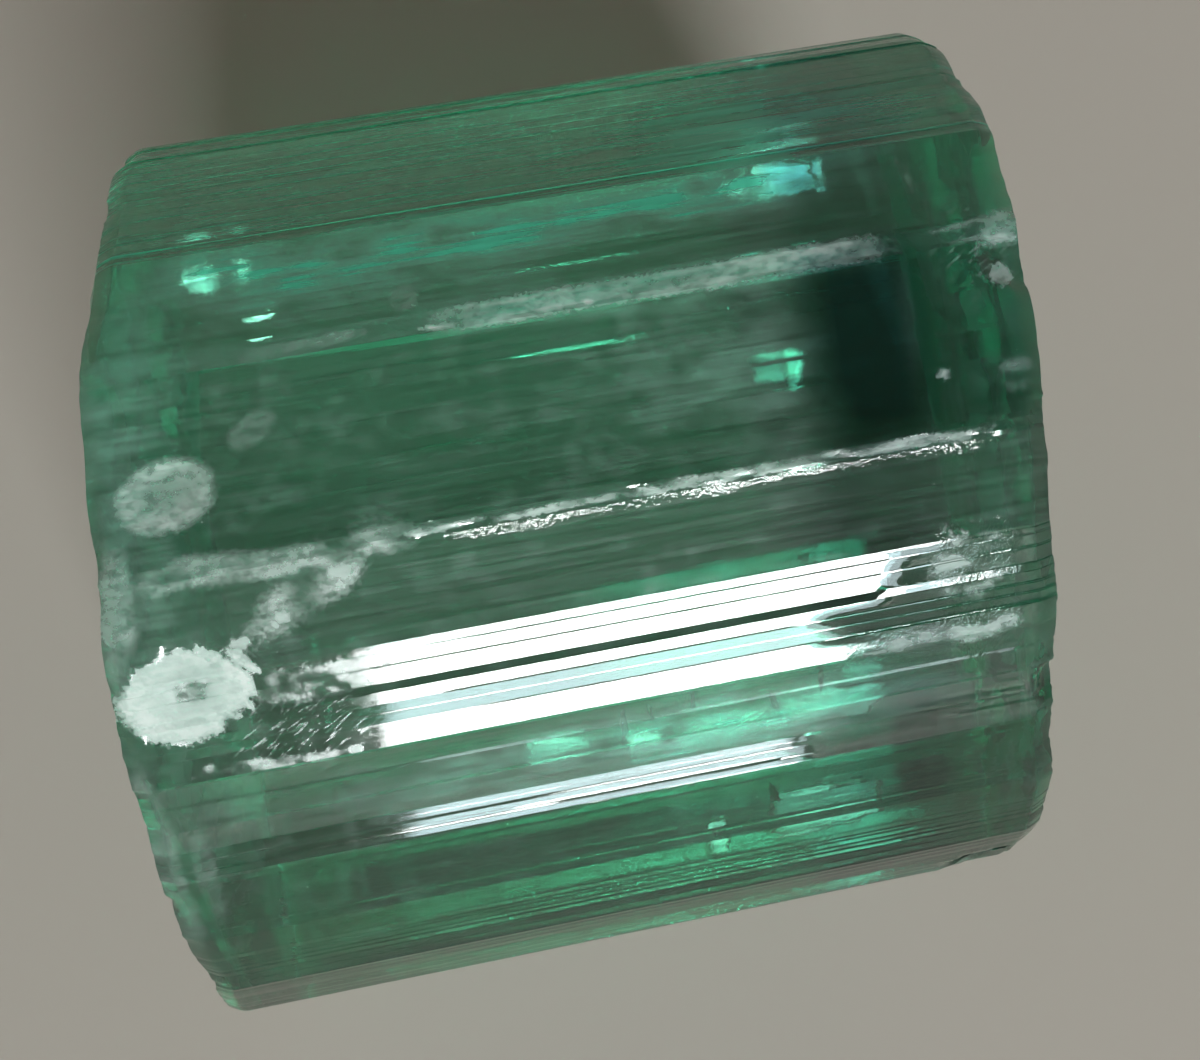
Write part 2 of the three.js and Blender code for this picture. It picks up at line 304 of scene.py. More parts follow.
SOFT_RIM, TORN_RIM = 0.15, 1.3
streaky = cloud(X * 1.2, S * 9.0, 2.5)
speckled = cloud(X * 6.0, S * 9.0, 2.5)
patchy = cloud(X * 2.0, S * 3.0, 2.5)
crushed_middle = spot(-5.85, 131.4, 0.85, 0.65, -10, 0.9)
soft_middle = spot(-5.85, 109.2, 0.95, 0.55, -10, 0.5)
feathered = spot_distance(-5.96, 131.9, 1.95, 1.45, -8) + 0.16 * cloud(X * 2.4, S * 2.4, 1.0)
feathered = feathered + 0.3 * cloud((X + S) * 1.2, (X - S) * 7.0, 4.0) * smooth(-6.0, -5.2, X)
soft_rim = 0.16 * smooth(109.5, 112.5, A) + 0.06 * patchy
# Each pale mark: the skin that it covers, how white it is, and how ragged its rim is
MARKS = (
    (smooth(1.3, 0.6, feathered), 0.92 - 0.68 * crushed_middle + 0.12 * patchy, 1.0),
    (spot(-5.9, 109.7, 1.4, 0.95, -10, 0.5), 0.46 - 0.2 * soft_middle + soft_rim, 0.4),
    (spot(-4.57, 104.1, 0.8, 0.45, -25, 0.7), 0.14, SOFT_RIM),
    (spot(-2.22, 92.3, 0.5, 0.5, 0, 0.5), 0.2, 0.5),
    (strip(118.05, 0.11, -2.9, 1.5, 0.5, 0.05, 0.9), 0.36 + 0.6 * speckled, TORN_RIM),
    (strip(118.0, 0.16, 0.8, 6.6, 0.8, 0.06, 0.9), 0.36 + 0.6 * speckled, TORN_RIM),
    (strip(133.0, 1.0, 4.9, 6.6, 0.6, 0.1, 0.9), 0.1 + 0.7 * speckled, TORN_RIM),
    (strip(118.3, 0.42, -6.8, -2.0, 0.7, 0.12, 0.9), 0.27 + 0.25 * patchy, 0.6),
    (strip(95.8, 0.4, -2.3, 5.4, 0.9, 0.03, 0.9), 0.52 + 0.3 * streaky + 0.12 * patchy, 0.7),
    (strip(96.0, 0.24, -6.2, -2.2, 0.9, 0.05, 0.9), 0.14 + 0.15 * streaky, 0.5),
    (strip(96.6, 0.07, -2.4, 1.2, 0.9, 0.05, 0.9), 0.75 + 0.5 * speckled, TORN_RIM),
    (spot(-3.9, 121.4, 2.5, 0.85, -32, 0.9), 0.15 + 0.22 * patchy, 0.8),
    (spot(-3.6, 120.5, 0.5, 0.22, -24, 0.8), 0.6, 1.0),
    (spot(-4.35, 124.4, 0.55, 0.2, -40, 0.8), 0.55, 1.0),
    (spot(-5.0, 126.6, 0.35, 0.16, -20, 0.8), 0.5, 1.0),
    (strip(132.0, 0.55, -5.3, -2.7, 0.6, 0.1, 0.9), 0.13 + 0.2 * speckled, 1.3),
    (strip(141.4, 0.2, -6.4, -2.7, 0.8, 0.12, 0.9), 0.12 + 0.4 * speckled, 1.3),
    (strip(141.7, 0.3, 3.6, 6.7, 0.6, 0.1, 0.9), 0.3 + 0.4 * speckled, TORN_RIM),
    (spot(6.75, 95.6, 0.75, 0.5, -20, 0.9), 0.3 + 0.5 * streaky, 1.0),
    (spot(6.65, 100.9, 0.34, 0.34, 0, 0.8), 0.6, TORN_RIM),
    (spot(6.15, 94.8, 1.1, 0.1, -7, 0.9), 0.3, 0.5),
    (spot(6.3, 96.6, 0.8, 0.1, -4, 0.9), 0.3, 0.5),
    (spot(5.15, 103.5, 0.24, 2.2, 3, 0.9), 0.07, 0.3),
    (spot(5.5, 86.5, 0.16, 0.9, -12, 0.9), 0.16, 0.6),
    (spot(5.53, 111.0, 0.22, 0.14, 30, 0.9), 0.7, TORN_RIM),
    (spot(6.62, 112.0, 0.5, 0.5, 0, 0.9), 0.16 + 0.3 * streaky, 0.8),
    (spot(-6.85, 156.0, 0.5, 4.4, 0, 0.9), 0.16 + 0.1 * patchy, 0.3),
    (spot(-6.3, 156.0, 0.4, 2.0, 0, 0.9), 0.1 + 0.06 * patchy, 0.3),
    (spot(-6.75, 122.0, 0.6, 2.2, 0, 0.9), 0.22 + 0.2 * patchy, 0.4),
)
pale, inward, ragged = (np.zeros((rows, lines)) for _ in range(3))
for inside, paleness, rag in MARKS:
    stronger = inside > np.maximum(inward, 0.02)
    pale = np.where(stronger, paleness, pale)
    ragged = np.where(stronger, rag, ragged)
    inward = np.maximum(inward, inside)
pale = np.clip(pale, 0, 1)

# Milky veils just under the skin, partly painted glow: the green streaks along the upper faces and the
# strong spot on the pale upper face, to the right, stand for light shining inside the crystal
painted_glow_and_veils = 0.24 * spot(1.9, 148.3, 5.6, 1.25, 0, 0.8) + 0.1 * spot(-2.2, 149.0, 3.2, 0.9, 0, 0.9)
painted_glow_and_veils = painted_glow_and_veils + 0.28 * strip(85.0, 0.8, -6.2, 4.6, 0.8, 0.12, 0.9)
painted_glow_and_veils = painted_glow_and_veils + 0.12 * strip(89.5, 0.8, -6.0, 0.5, 1.5, 0.1, 0.9)
painted_glow_and_veils = painted_glow_and_veils + 0.12 * spot(2.5, 107.5, 2.6, 0.9, 0, 0.9) + 0.1 * spot(-6.4, 100.0, 1.2, 6.0, 0, 0.8)
painted_glow_and_veils = painted_glow_and_veils + 0.25 * strip(95.8, 0.45, -2.2, 5.2, 1.5, 0.03, 0.9) * (1 + 0.6 * patchy)
painted_glow_and_veils = painted_glow_and_veils + 0.03 * spot(1.7, 106.0, 4.5, 2.2, 0, 0.9) + 0.5 * spot(3.6, 74.0, 3.4, 2.0, 0, 0.9)
painted_glow_and_veils = painted_glow_and_veils * (0.75 + 0.45 * cloud(X * 1.3, S * 5.0, 2.0) + 0.3 * cloud(X * 4.0, S * 8.0, 3.0))
painted_glow_and_veils = np.clip(painted_glow_and_veils + 0.03 * cloud(X * 3.0, S * 4.0, 7.0) + 0.025 * cloud(X * 6.0, S * 8.0, 1.0), 0, 1)
crumbly = np.clip(crumbly * smooth(-2.6, -1.6, X) + 0.5 * spot(6.7, 98.0, 0.8, 1.2, 0, 0.6), 0, 1)

# Where fine scratches slant across the skin, and where the crystal's colour turns to a deep blue-green
scratched = 0.36 * strip(137.6, 0.95, -5.9, -2.9, 0.9, 0.1, 0.8)
scratched = scratched + 0.15 * spot(-5.2, 146.0, 3.0, 1.4, -20, 0.6)
scratched = np.clip(scratched + 0.4 * spot(6.3, 97.5, 1.1, 1.6, -10, 0.8), 0, 1)
zone = smooth(3.1, 4.2, X + 0.25 * cloud(X * 0.6, S * 1.1, 5.0)) * (1 - 0.45 * smooth(4.9, 5.8, X))
deepest = smooth(92, 99, A) * smooth(120, 114, A)
deep = zone * (0.5 + 0.5 * deepest)

# The face that the crystal lies on stays flat
height = np.where(face_of[None, :] == FACE_NAMES.index("rest"), 0, height)

# The broken ends: the prism snapped across at both ends, with a worn rim and stepped flakes inside it.
# The sides run from one end's rim to the other's, and each end is filled with a face of flakes.
LEAN_TOWARDS = 28.0
LEFT_LEAN = 4.0
RIGHT_LEAN = 3.0
WORN_DEPTH = 0.14
SWAY = 0.133


def lean_reach(y, z):
    """How far a place on an end lies in the direction that the ends lean towards."""
    towards = math.radians(LEAN_TOWARDS)
    return y * math.cos(towards) + (z - AXIS_HEIGHT) * math.sin(towards)


def ragged_edge(angle, phase, sway):
    """The uneven line of an end's rim, around the prism."""
    return (
        SWAY * np.sin(4 * angle + sway)
        + 0.05 * np.sin(5 * angle + phase)
        + 0.04 * np.sin(11 * angle + 2 * phase)
        + 0.02 * np.sin(23 * angle + 3 * phase)
    )


# The lines beyond which an end slopes away: heading, distance from the middle, and slope
BREAK_LINES = ((65, 2.6, 0.04), (190, 3.4, 0.056), (305, 1.8, 0.028))


def break_fall(y, z, turn):
    """How far an end has sloped away behind its break lines."""
    fall = np.zeros_like(y)
    for heading, beyond, slope in BREAK_LINES:
        way = math.radians(heading + turn)
        reach = y * math.cos(way) + (z - AXIS_HEIGHT) * math.sin(way)
        fall += slope * np.maximum(0, reach - beyond)
    return fall


LEFT_END = dict(side=-1, lean=LEFT_LEAN, phase=0.7, sway=-0.17, turn=20)
RIGHT_END = dict(side=1, lean=RIGHT_LEAN, phase=2.9, sway=1.46, turn=150)


def end_place(end, y, z):
    """Where along the prism an end lies at a place across it."""
    angle = np.arctan2(z - AXIS_HEIGHT, y)
    distance = np.hypot(y, z - AXIS_HEIGHT) / (ACROSS / 2)
    flat = end["side"] * LENGTH / 2 + lean_reach(y, z) * math.tan(math.radians(end["lean"]))
    ragged = ragged_edge(angle, end["phase"], end["sway"]) * distance**4
    return flat + end["side"] * (ragged - break_fall(y, z, end["turn"]))


scale = 1 + TAPER * (0.5 - shares[:, None])
from_end = np.minimum(row_places, LENGTH - row_places)[:, None]
inset = WORN_DEPTH * np.clip(1 - from_end / WORN_EDGE, 0, 1) ** 1.5
base_radius = np.linalg.norm(base, axis=1)[None, :]
pulled = (base_radius - inset) / base_radius
side_y = (base[:, 0] * pulled + ways[:, 0] * height) * scale
side_z = (base[:, 1] * pulled + ways[:, 1] * height + AXIS_HEIGHT) * scale
left_x, right_x = end_place(LEFT_END, side_y, side_z), end_place(RIGHT_END, side_y, side_z)
chipped = 0.03 * cloud(S * 1.9, 0.0, 3.0) + 0.02 * cloud(S * 5.0, 0.0, 8.0)
left_x = left_x + np.abs(chipped)
right_x = right_x - np.abs(chipped[:, ::-1])
side_x = left_x + (right_x - left_x) * shares[:, None]
side_points = np.stack([side_x, side_y, side_z], axis=-1).reshape(-1, 3)

# The broken face has broad steps with fine flakes on them: how many, and how steeply each is tipped. Both
# fade out towards the rim, and their points lie this far apart.
BROAD_FLAKES, FINE_FLAKES = (34, 0.2), (260, 0.45)
FLAKES_DEEP, SUNK, RIM_FADE = 0.3, 0.08, 0.7
END_GAP = 0.2


def broken_end(end, ring_x, ring_y, ring_z, first_index, ring_indices):
    """The broken face inside one end ring: its inner points, and its triangles."""
    reach = ACROSS / 2
    grid = np.arange(-reach, reach, END_GAP)
    yy, zz = np.meshgrid(grid, grid)
    yy = yy + (np.arange(len(grid)) % 2)[:, None] * END_GAP / 2
    yy, zz = yy.ravel(), zz.ravel() + AXIS_HEIGHT
    ring_angle = np.arctan2(ring_z - AXIS_HEIGHT, ring_y)
    order = np.argsort(ring_angle)
    ring_radius = np.hypot(ring_y, ring_z - AXIS_HEIGHT)
    heading = np.arctan2(zz - AXIS_HEIGHT, yy)
    limit = np.interp(heading, ring_angle[order], ring_radius[order], period=2 * math.pi)
    own_edge = ring_x - end_place(end, ring_y, ring_z)
    edge_step = np.interp(heading, ring_angle[order], own_edge[order], period=2 * math.pi)
    inside = np.hypot(yy, zz - AXIS_HEIGHT) < limit - 0.5 * END_GAP
    yy, zz, limit, edge_step = yy[inside], zz[inside], limit[inside], edge_step[inside]
    count = len(ring_y)
    flat = [Vector((a, b)) for a, b in zip(np.r_[ring_y, yy], np.r_[ring_z, zz])]
    edges = [(i, (i + 1) % count) for i in range(count)]
    _, _, faces, origins, _, _ = geometry.delaunay_2d_cdt(flat, edges, [], 1, 1e-7)
    index = np.r_[ring_indices, first_index + np.arange(len(yy))]
    lookup = [index[o[0]] for o in origins]
    triangles = [[lookup[v] for v in face] for face in faces]
    if end["side"] < 0:
        triangles = [t[::-1] for t in triangles]
    across, upwards = yy, zz - AXIS_HEIGHT
    own = np.random.RandomState(21 + end["side"])
    splits = []
    for flakes, steep in (BROAD_FLAKES, BROAD_FLAKES, FINE_FLAKES, FINE_FLAKES):
        at_y, at_z = own.uniform(-reach, reach, (2, flakes))
        planes = steep * (across[:, None] * at_y + upwards[:, None] * at_z - (at_y**2 + at_z**2) / 2)
        splits.append(planes.max(1))
    rough = splits[0] - splits[1] + splits[2] - splits[3]
    rough = FLAKES_DEEP * np.tanh(rough / FLAKES_DEEP) + cloud(yy * 4.1, zz * 4.1, 5.0) * 0.012
    rim = np.clip((limit - np.hypot(yy, zz - AXIS_HEIGHT)) / RIM_FADE, 0, 1)
    xx = end_place(end, yy, zz) + end["side"] * (rough - SUNK) * rim + edge_step * (1 - rim)
    return np.stack([xx, yy, zz], axis=-1), triangles


first_ring = np.arange(lines)
last_ring = (rows - 1) * lines + np.arange(lines)
left_inner, left_triangles = broken_end(
    LEFT_END, side_x[0], side_y[0], side_z[0], rows * lines, first_ring
)
right_inner, right_triangles = broken_end(
    RIGHT_END, side_x[-1], side_y[-1], side_z[-1], rows * lines + len(left_inner), last_ring
)

# The cracks inside: flat closed gaps that opened in the stone, far thinner than a hair. Most of them mirror
# the window back out of the crystal as green and turquoise glints, and six show as short dark lines.
REFRACTION = 1.63
LOOK_AZIMUTH, LOOK_ELEVATION, LOOK_FROM = -1.54, 62.0, 35.18
MIRRORED_X, WINDOW_AWAY = 28.0, 400.0
CRACK_SPOKES, CRACK_RINGS = 32, (0.35, 0.65, 0.88, 1.0)
CRACK_GAP = 0.016


def unit(way):
    """The same way, one long."""
    way = np.array(way, dtype=float)
    return way / np.linalg.norm(way)


def sky_way(azimuth, elevation):
    """The way towards a place in the sky, with azimuth 0 in front of the crystal."""
    a, e = math.radians(azimuth), math.radians(elevation)
    return np.array([math.sin(a) * math.cos(e), -math.cos(a) * math.cos(e), math.sin(e)])


def bent_inwards(ray, out):
    """The way that a ray takes once it has passed from the air into the crystal."""
    against = -np.dot(ray, out) / REFRACTION
    return ray / REFRACTION + (against - math.sqrt(1 - 1 / REFRACTION**2 + against**2)) * out


def seen_through(x, angle, deep):
    """The point that shows at a place on the skin, so far behind it, and the way of the look there."""
    turned_angle = angle + (FULL_TURN if angle < REST_FROM else 0)
    y, z = (np.interp(turned_angle, line_angle, base[:, k]) for k in (0, 1))
    on_skin = np.array([x, y, z + AXIS_HEIGHT])
    eye = np.array([0, 0, AXIS_HEIGHT]) + sky_way(LOOK_AZIMUTH, LOOK_ELEVATION) * LOOK_FROM
    out = ways[np.argmin(np.abs(line_angle - turned_angle))]
    look = bent_inwards(unit(on_skin - eye), np.array([0, *out]))
    return on_skin + look * deep, look


def glint(x, angle, deep, comes_in_by, elevation):
    """Middle and facing of a crack that mirrors the window, at an elevation, through one of the faces."""
    middle_at, look = seen_through(x, angle, deep)
    heading = math.degrees(math.atan2(MIRRORED_X - middle_at[0], WINDOW_AWAY))
    window_way = sky_way(heading, elevation)
    out = ways[face_of == FACE_NAMES.index(comes_in_by)][0]
    from_window = bent_inwards(-window_way, np.array([0, *out]))
    return middle_at, unit(-from_window - look)


def dark_crack(x, angle, deep, facing, lean):
    """Middle and facing of a crack by the way it faces around the prism and its lean towards the right."""
    around_way, lean_way = math.radians(facing), math.radians(lean)
    level = math.cos(lean_way)
    normal = np.array([math.sin(lean_way), level * math.cos(around_way), level * math.sin(around_way)])
    return seen_through(x, angle, deep)[0], normal


def inner_crack(middle_at, normal, long, wide, seed):
    """A thin closed gap inside the crystal: its points, and its faces, which look into the gap."""
    own = np.random.RandomState(seed)
    u = unit(np.array([1, 0, 0]) - normal[0] * normal)
    v = np.cross(normal, u)
    turn = np.arange(CRACK_SPOKES) * 2 * math.pi / CRACK_SPOKES
    squareness = (np.abs(np.cos(turn)) ** 4 + np.abs(np.sin(turn)) ** 4) ** -0.25
    rim = squareness * (0.85 + 0.08 * np.sin(3 * turn + seed) + 0.08 * np.sin(7 * turn + 2 * seed))
    rim = rim + own.uniform(-0.1, 0.1, CRACK_SPOKES)
    flat = [(0.0, 0.0, 1.0)]
    for ring in CRACK_RINGS:
        flat += [
            (ring * r * math.cos(t) * long / 2, ring * r * math.sin(t) * wide / 2, 1 - ring**2)
            for r, t in zip(rim, turn)
        ]
    flat = np.array(flat)
    waves = 0.004 * cloud(flat[:, 0] * 4 + seed, flat[:, 1] * 4, 3.0)
    waves = waves + 0.012 * cloud(flat[:, 0] + seed, flat[:, 1], 5.0)
    half_gap = CRACK_GAP / 2 * flat[:, 2]
    level = middle_at + flat[:, :1] * u + flat[:, 1:2] * v
    sheets = [level + (waves + side * half_gap)[:, None] * normal for side in (1, -1)]
    count, outer = len(flat), len(flat) - CRACK_SPOKES
    vertices = np.concatenate([sheets[0], sheets[1][:outer]])
    faces_out = []
    for sheet in (0, 1):
        number = [i if sheet == 0 or i >= outer else count + i for i in range(count)]
        own_faces = []
        for j in range(CRACK_SPOKES):
            k = (j + 1) % CRACK_SPOKES
            own_faces.append([0, 1 + k, 1 + j])
            for ring in range(len(CRACK_RINGS) - 1):
                a, b = 1 + ring * CRACK_SPOKES, 1 + (ring + 1) * CRACK_SPOKES
                own_faces.append([a + j, a + k, b + k, b + j])
        for face in own_faces:
            face = [number[i] for i in face]
            faces_out.append(face if sheet == 0 else face[::-1])
    return vertices, faces_out


# Each glint: where it shows on the skin, how deep its crack lies, the face that its light comes in by,
# the elevation that it mirrors, and the crack's length and width
GLINTS = (
    (3.05, 107.3, 10.0, "lower middle", 14.4, 1.1, 0.7),
    (3.26, 107.8, 9.76, "lower middle", 15.9, 0.4, 0.9),
    (3.81, 76.9, 4.45, "bluish", 17.8, 1.3, 0.9),
    (3.18, 77.1, 4.37, "bluish", 13.3, 0.7, 0.35),
    (4.36, 76.9, 4.57, "bluish", 16.4, 0.25, 0.9),
    (-4.97, 77.9, 4.12, "bluish", 14.2, 0.7, 0.55),
    (-4.32, 77.3, 4.18, "bluish", 13.6, 0.3, 0.5),
    (-4.10, 91.3, 3.5, "broad dark", 12.2, 0.6, 0.22),
    (0.26, 149.1, 4.78, "lower middle", 13.0, 0.7, 0.7),
    (1.53, 149.1, 5.46, "lower middle", 8.8, 2.1, 0.8),
    (1.96, 148.8, 4.83, "lower middle", 7.6, 0.9, 0.35),
    (3.13, 148.7, 4.98, "lower middle", 10.1, 2.1, 0.9),
    (3.65, 141.6, 5.13, "lower middle", 2.6, 0.8, 0.4),
    (1.20, 165.5, 4.0, "lower", 9.8, 0.4, 0.5),
    (2.86, 155.9, 5.02, "lower", -8.3, 2.2, 0.7),
    (-1.03, 146.7, 5.24, "lower middle", 11.2, 1.3, 0.5),
)
# Each dark crack: where it shows, how deep it lies, the way it faces and its lean, and its length and width
DARK_CRACKS = (
    (0.07, 145.8, 0.48, 147.0, 74.0, 0.5, 0.55),
    (0.49, 144.8, 0.5, 147.0, -78.0, 0.4, 0.35),
    (1.13, 144.0, 0.49, 146.0, 76.0, 0.4, 0.4),
    (2.32, 146.5, 0.53, 148.0, -70.0, 0.35, 0.3),
    (3.06, 144.8, 0.51, 146.0, 75.0, 0.5, 0.4),
    (2.17, 160.8, 0.66, 164.0, -72.0, 0.5, 0.4),
)
cracks = [(*glint(*row[:5]), *row[5:]) for row in GLINTS]
cracks += [(*dark_crack(*row[:5]), *row[5:]) for row in DARK_CRACKS]
crack_points, crack_faces = [], []
crack_start = rows * lines + len(left_inner) + len(right_inner)
for seed, crack in enumerate(cracks):
    vertices, own_faces = inner_crack(*crack, seed)
    crack_faces += [[i + crack_start for i in face] for face in own_faces]
    crack_points.append(vertices)
    crack_start += len(vertices)

# The crystal's mesh: the prism's skin, its two broken ends and its cracks in one mesh, as it is one stone.
# Its creases stay sharp, and its skin carries the masks that the material reads.
points = np.concatenate([side_points, left_inner, right_inner, *crack_points])
ids = np.arange(rows * lines).reshape(rows, lines)
after = np.roll(ids, -1, axis=1)
quads = np.stack([ids[:-1], after[:-1], after[1:], ids[1:]], axis=-1).reshape(-1, 4)
caps = left_triangles + right_triangles

crystal_mesh = bpy.data.meshes.new("green_crystal")
crystal_mesh.from_pydata((points * MM).tolist(), [], quads.tolist() + caps + crack_faces)
crystal_mesh.shade_smooth()
crystal = bpy.data.objects.new("green_crystal", crystal_mesh)
bpy.context.scene.collection.objects.link(crystal)
middle = (Vector(points.min(0)) + Vector(points.max(0))) / 2 * MM
crystal_mesh.transform(Matrix.Translation((-middle.x, -middle.y, -min(points[:, 2]) * MM)))

# Creases between treads and around the broken ends stay sharp
tread_starts = tread_of != np.roll(tread_of, 1)
crease = tread_starts | np.roll(tread_starts, -1)
edge_points = np.zeros(len(crystal_mesh.edges) * 2, dtype=int)
crystal_mesh.edges.foreach_get("vertices", edge_points)
edge_points = edge_points.reshape(-1, 2)
on_sides = (edge_points < rows * lines).all(1)
edge_line = edge_points % lines
edge_row = edge_points // lines
lengthways = on_sides & (edge_line[:, 0] == edge_line[:, 1]) & crease[edge_line[:, 0]]
at_rim = on_sides & (edge_row[:, 0] == edge_row[:, 1]) & np.isin(edge_row[:, 0], (0, rows - 1))
# So do the edges of the flakes that broke away from the ends, where triangles meet at more than this angle
FLAKE_ANGLE = 14
corner_edge = np.zeros(len(crystal_mesh.loops), dtype=int)
crystal_mesh.loops.foreach_get("edge_index", corner_edge)
cap_corners = corner_edge[len(quads) * 4:len(quads) * 4 + 3 * len(caps)]
normals = np.zeros(len(crystal_mesh.polygons) * 3)
crystal_mesh.polygons.foreach_get("normal", normals)
cap_normals = np.repeat(normals.reshape(-1, 3)[len(quads):len(quads) + len(caps)], 3, axis=0)
summed = np.zeros((len(crystal_mesh.edges), 3))
np.add.at(summed, cap_corners, cap_normals)
meeting = np.bincount(cap_corners, minlength=len(summed))
flake_edge = (meeting == 2) & (np.linalg.norm(summed, axis=1) < 2 * math.cos(math.radians(FLAKE_ANGLE / 2)))
sharp = crystal_mesh.attributes.new("sharp_edge", "BOOLEAN", "EDGE")
sharp.data.foreach_set("value", lengthways | at_rim | flake_edge)

# What the skin's patterns are laid out on: place along the prism, distance around it, and 1 on the ends.
# The cracks' own pattern is finer along the prism.
CRACK_GRAIN = (12, 0.9, 0)
lie = crystal_mesh.attributes.new("lie", "FLOAT_VECTOR", "CORNER")
corner_count = len(crystal_mesh.loops)
corner_point = np.zeros(corner_count, dtype=int)
crystal_mesh.loops.foreach_get("vertex_index", corner_point)
quad_corners = len(quads) * 4
place = np.zeros((corner_count, 3))
quad_points = corner_point[:quad_corners]
place[:quad_corners, 0] = X.ravel()[quad_points]
place[:quad_corners, 1] = S.ravel()[quad_points]
last_line = (quad_points % lines == 0).reshape(-1, 4) & (quads[:, :1] % lines == lines - 1)
place[:quad_corners, 1] += np.where(last_line.ravel(), around[-1] + HIDDEN_GAP, 0)
cap_end = quad_corners + 3 * len(caps)
cap_points = points[corner_point[quad_corners:cap_end]]
place[quad_corners:cap_end, 0] = cap_points[:, 1]
place[quad_corners:cap_end, 1] = cap_points[:, 2]
place[quad_corners:cap_end, 2] = 1
place[cap_end:] = points[corner_point[cap_end:]] * CRACK_GRAIN
lie.data.foreach_set("vector", place.ravel().astype(np.float32))

HAZE_OF_ENDS = 0.32
haze_of_face = np.array([face["haze"] for face in FACES])
quad_face = np.broadcast_to(face_of[None, :], (rows - 1, lines)).ravel()
inner_count = len(points) - rows * lines
POINT_MASKS = (
    ("pale", pale), ("inward", inward), ("ragged", ragged), ("scratched", scratched), ("deep", deep),
    ("painted_glow_and_veils", painted_glow_and_veils), ("crumbly", crumbly),
)
for name, values in POINT_MASKS:
    kept = crystal_mesh.attributes.new(name, "FLOAT", "POINT")
    values = np.concatenate([values.ravel(), np.zeros(inner_count)])
    kept.data.foreach_set("value", values.astype(np.float32))
# Painted shade on each face: how much of the tint it keeps, darker on the faces towards the bottom
painted_shade_factor_of_face = np.array([face.get("painted_shade_factor", 1.0) for face in FACES])
FACE_MASKS = (("hazy", haze_of_face, HAZE_OF_ENDS, 0.0), ("painted_shade_factor", painted_shade_factor_of_face, 1.0, 1.0))
for name, of_face, of_end, of_crack in FACE_MASKS:
    kept = crystal_mesh.attributes.new(name, "FLOAT", "FACE")
    of_rest = [np.full(len(caps), of_end), np.full(len(crack_faces), of_crack)]
    values = np.concatenate([of_face[quad_face], *of_rest])
    kept.data.foreach_set("value", values.astype(np.float32))

# The crystal's material: clear green stone that is seen through, darker the thicker it is. The haze, the
# crushed white stone, the deeper blue-green zone near one end, the veils, some of them painted glow, and the
# painted shade on the lower faces are all in its skin.
STONE_COLOUR, STONE_DENSITY = (0.18, 0.84, 0.69, 1), 105
CLEAR_SKIN, DEEP_SKIN = (0.76, 0.98, 0.88, 1), (0.015, 0.06, 0.1, 1)
GREEN_VEIL, DEEP_VEIL, END_VEIL = (0.12, 0.80, 0.54, 1), (0.08, 0.50, 0.55, 1), (0.10, 0.40, 0.27, 1)
CRUSHED_WHITE = (0.50, 0.57, 0.53, 1)
# The colour that the painted shade darkens the tint towards
PAINTED_SHADE_BLACK = (0.0, 0.0, 0.0, 1)
FULL_HAZE = 0.4
material = bpy.data.materials.new("green_tourmaline")
material.use_nodes = True
nodes, links = material.node_tree.nodes, material.node_tree.links
nodes.clear()
output = nodes.new("ShaderNodeOutputMaterial")
shader = nodes.new("ShaderNodeBsdfPrincipled")
links.new(shader.outputs["BSDF"], output.inputs["Surface"])
absorb = nodes.new("ShaderNodeVolumeAbsorption")
absorb.inputs["Color"].default_value = STONE_COLOUR
absorb.inputs["Density"].default_value = STONE_DENSITY
links.new(absorb.outputs["Volume"], output.inputs["Volume"])
shader.inputs["IOR"].default_value = REFRACTION


def attribute_node(name, socket="Fac"):
    """One of the mesh's own masks."""
    node = nodes.new("ShaderNodeAttribute")
    node.attribute_name = name
    return node.outputs[socket]


def feed(socket, value):
    """Sets a socket from another socket or from a plain value."""
    if isinstance(value, bpy.types.NodeSocket):
        links.new(value, socket)
    else:
        socket.default_value = value


def remap(value, low, high, to_low=0.0, to_high=1.0):
    """Spreads low to high over the whole way from to_low to to_high, and no further."""
    node = nodes.new("ShaderNodeMapRange")
    for name, own in (("From Min", low), ("From Max", high), ("To Min", to_low), ("To Max", to_high)):
        node.inputs[name].default_value = own
    feed(node.inputs["Value"], value)
    return node.outputs["Result"]


def maths(kind, first, second=0.0, clamp=False):
    """Adds, subtracts, multiplies or takes the larger of two values."""
    node = nodes.new("ShaderNodeMath")
    node.operation = kind
    node.use_clamp = clamp
    feed(node.inputs[0], first)
    feed(node.inputs[1], second)
    return node.outputs["Value"]


def blend(share, first, second):
    """The first colour, with a share of the second one in its place."""
    node = nodes.new("ShaderNodeMix")
    node.data_type = "RGBA"
    feed(node.inputs["Factor"], share)
    feed(node.inputs[6], first)
    feed(node.inputs[7], second)
    return node.outputs[2]


lie_vector = attribute_node("lie", "Vector")
lie_split = nodes.new("ShaderNodeSeparateXYZ")
links.new(lie_vector, lie_split.inputs["Vector"])
lie_end = lie_split.outputs["Z"]


def grain(across_x, across_s, detail, shift, slant=0.0):
    """Noise over the skin with its own fineness along the prism and around it, per millimetre."""
    scaled = nodes.new("ShaderNodeMapping")
    scaled.vector_type = "TEXTURE" if slant else "POINT"
    fineness = (across_x, across_s, 1)
    scaled.inputs["Scale"].default_value = [1 / v for v in fineness] if slant else fineness
    scaled.inputs["Rotation"].default_value = (0, 0, math.radians(slant))
    scaled.inputs["Location"].default_value = (0, 0, shift)
    links.new(lie_vector, scaled.inputs["Vector"])
    noise = nodes.new("ShaderNodeTexNoise")
    noise.inputs["Scale"].default_value = 1
    noise.inputs["Detail"].default_value = detail
    noise.inputs["Roughness"].default_value = 0.6
    links.new(scaled.outputs["Vector"], noise.inputs["Vector"])
    return noise.outputs["Fac"]


# Long streaks along the sides, but none on the broken ends, which have their middle value
STREAK_MIDDLE = 0.51
on_side = maths("SUBTRACT", 1.0, lie_end)
streaks = maths("SUBTRACT", grain(0.35, 12.0, 2.0, 0.0), STREAK_MIDDLE)
streaks = maths("ADD", maths("MULTIPLY", streaks, on_side), STREAK_MIDDLE)
